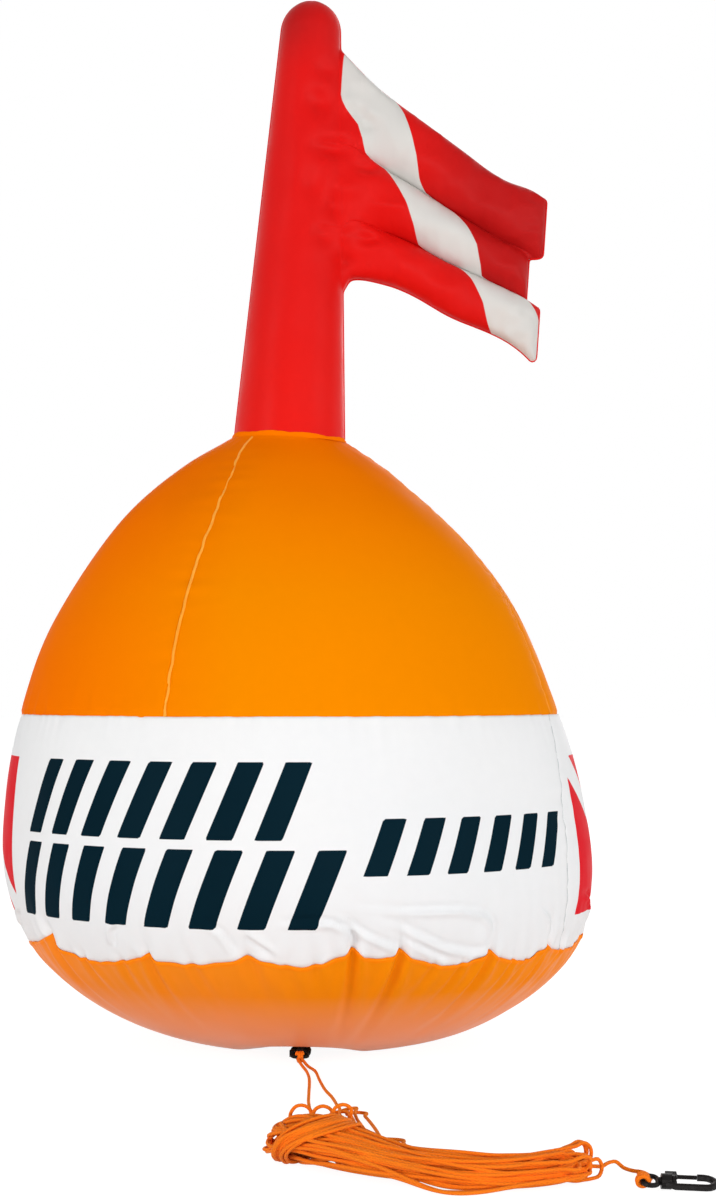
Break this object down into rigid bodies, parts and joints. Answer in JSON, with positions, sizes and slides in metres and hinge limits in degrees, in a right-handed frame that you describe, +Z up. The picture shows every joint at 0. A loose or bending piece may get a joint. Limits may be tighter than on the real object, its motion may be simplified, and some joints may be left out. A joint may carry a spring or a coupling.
{
  "type": "dive buoy",
  "caption": "Inflatable round dive signal buoy with a flag mast on top, an oral inflation valve at the back and a hank of line with snap hooks at its foot.",
  "frame": {"origin": "on the surface that the buoy stands on, under the middle of the round body", "axes": "+Z up along the body, the flag flies towards +X, the line lies towards -Y"},
  "size_m": [0.3606, 0.5967, 0.6216],
  "materials": {
    "orange_sheet": "inflated PVC sheet, soft satin gloss",
    "white_sheet": "inflated PVC sheet, soft satin gloss",
    "red_sheet": "inflated PVC sheet, satin",
    "soft_clear": "soft milky PVC",
    "black_acetal": "moulded, satin",
    "black_webbing": "woven strap",
    "orange_cord": "braided nylon cord"
  },
  "bodies": {
    "root": {"upper_gore_front": "orange_sheet", "upper_gore_right": "orange_sheet", "upper_gore_rear": "orange_sheet", "upper_gore_left": "orange_sheet", "band_front": "white_sheet", "band_rear": "white_sheet", "bottom_panel": "orange_sheet", "mast_collar": "orange_sheet", "mast_flag_front": "red_sheet", "mast_flag_rear": "red_sheet", "tether_patch": "orange_sheet", "tether_loop": "black_webbing", "upper_hook_body": "black_acetal", "upper_hook_eye": "black_acetal", "upper_hook_gate_pin": "black_acetal", "lower_hook_eye": "black_acetal", "valve_body": "soft_clear", "valve_tether": "soft_clear", "knot_upper": "orange_cord", "knot_lower": "orange_cord", "cord_lead_left": "orange_cord", "cord_lead_right": "orange_cord", "cord_hank_loops": "orange_cord", "cord_hank": "orange_cord", "cord_tail": "orange_cord"},
    "upper_gate": {"upper_hook_gate": "black_acetal"},
    "lower_hook": {"lower_hook_body": "black_acetal", "lower_hook_gate_pin": "black_acetal"},
    "lower_gate": {"lower_hook_gate": "black_acetal"},
    "plug": {"valve_plug": "soft_clear"},
    "flap": {"valve_flap": "soft_clear"}
  },
  "joints": [
    {"name": "upper_gate_hinge", "type": "hinge", "parent": "root", "child": "upper_gate", "pos_m": [-0.0011, -0.0825, 0.0036], "axis": [0, 0, -1], "range_deg": [0, 28], "stiffness_Nm_per_rad": 0.005, "springref_deg": -28.65},
    {"name": "lower_hook_swivel", "type": "hinge", "parent": "root", "child": "lower_hook", "pos_m": [0.16179, -0.414, 0.00372], "axis": [0.999, 0, -0.0436], "continuous": true},
    {"name": "lower_gate_hinge", "type": "hinge", "parent": "lower_hook", "child": "lower_gate", "pos_m": [0.16803, -0.40975, 0.00458], "axis": [-0.0421, 0.2588, -0.965], "range_deg": [0, 28], "stiffness_Nm_per_rad": 0.005, "springref_deg": -28.65},
    {"name": "valve_plug_pull", "type": "slide", "parent": "root", "child": "plug", "axis": [-0.3384, 0.7918, 0.5085], "range_m": [0, 0.014], "deforming": ["valve_tether"]},
    {"name": "valve_flap_hinge", "type": "hinge", "parent": "root", "child": "flap", "pos_m": [-0.05377, 0.11465, 0.24801], "axis": [0.9198, 0.3923, 0.0014], "range_deg": [0, 60], "stiffness_Nm_per_rad": 0.00005, "springref_deg": -22.92}
  ]
}
